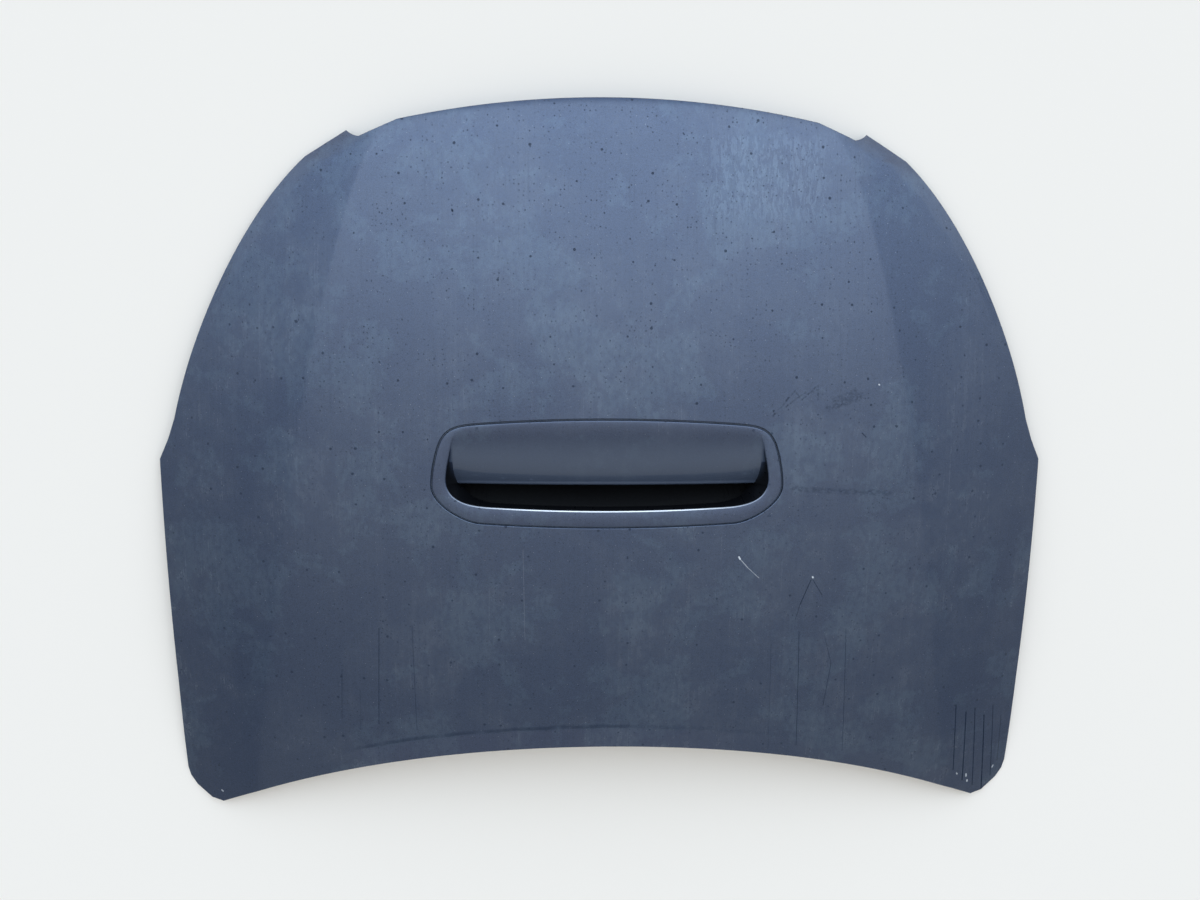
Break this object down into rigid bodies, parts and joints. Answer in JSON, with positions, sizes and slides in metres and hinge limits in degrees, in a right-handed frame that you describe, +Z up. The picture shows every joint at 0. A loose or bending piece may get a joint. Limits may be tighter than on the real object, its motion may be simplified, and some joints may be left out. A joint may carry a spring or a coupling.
{
  "type": "car bonnet",
  "caption": "Car bonnet in blue-grey painted steel, lying face up, with a flush air intake in the middle, a pressed inner frame, an air duct, hinge seats and a latch loop underneath.",
  "frame": {"origin": "centre of the bounding box's base, on the floor the bonnet lies on", "axes": "+X to one side across the width, +Y to the nose edge, +Z up out of the painted face"},
  "size_m": [1.504, 1.2389, 0.1501],
  "materials": {
    "blue_grey_paint": "metallic paint under clear coat, weathered",
    "painted_moulding": "metallic paint on plastic",
    "black_moulding": "matte",
    "black_rubber": "matte",
    "plated_steel": "zinc plated",
    "grey_mastic": "matte"
  },
  "bodies": {
    "root": {"outer_skin": "blue_grey_paint", "inner_frame": "blue_grey_paint", "vent_insert": "painted_moulding", "vent_gasket": "black_rubber", "vent_sealer": "grey_mastic", "air_duct": "black_moulding", "duct_seal": "black_rubber", "latch_reinforcement": "plated_steel", "striker_plate": "plated_steel", "striker_loop": "plated_steel", "latch_bolt_1": "plated_steel", "latch_bolt_2": "plated_steel", "latch_nut_1": "plated_steel", "latch_nut_2": "plated_steel", "hinge_reinforcement_left": "plated_steel", "hinge_reinforcement_right": "plated_steel", "hinge_nut_left_1": "plated_steel", "hinge_nut_left_2": "plated_steel", "hinge_nut_right_1": "plated_steel", "hinge_nut_right_2": "plated_steel", "buffer_left": "black_rubber", "buffer_right": "black_rubber", "prop_grommet": "black_rubber", "front_seal_left": "black_rubber", "front_seal_right": "black_rubber", "vent_nut_1": "plated_steel", "vent_nut_2": "plated_steel", "vent_nut_3": "plated_steel", "vent_nut_4": "plated_steel", "vent_nut_5": "plated_steel", "vent_nut_6": "plated_steel", "vent_nut_7": "plated_steel", "vent_nut_8": "plated_steel", "mastic_pad_01": "grey_mastic", "mastic_pad_02": "grey_mastic", "mastic_pad_03": "grey_mastic", "mastic_pad_04": "grey_mastic", "mastic_pad_05": "grey_mastic", "mastic_pad_06": "grey_mastic", "mastic_pad_07": "grey_mastic", "mastic_pad_08": "grey_mastic", "mastic_pad_09": "grey_mastic", "mastic_pad_10": "grey_mastic", "mastic_pad_11": "grey_mastic", "mastic_pad_12": "grey_mastic", "mastic_pad_13": "grey_mastic", "mastic_pad_14": "grey_mastic", "mastic_pad_15": "grey_mastic", "mastic_pad_16": "grey_mastic"}
  },
  "joints": []
}
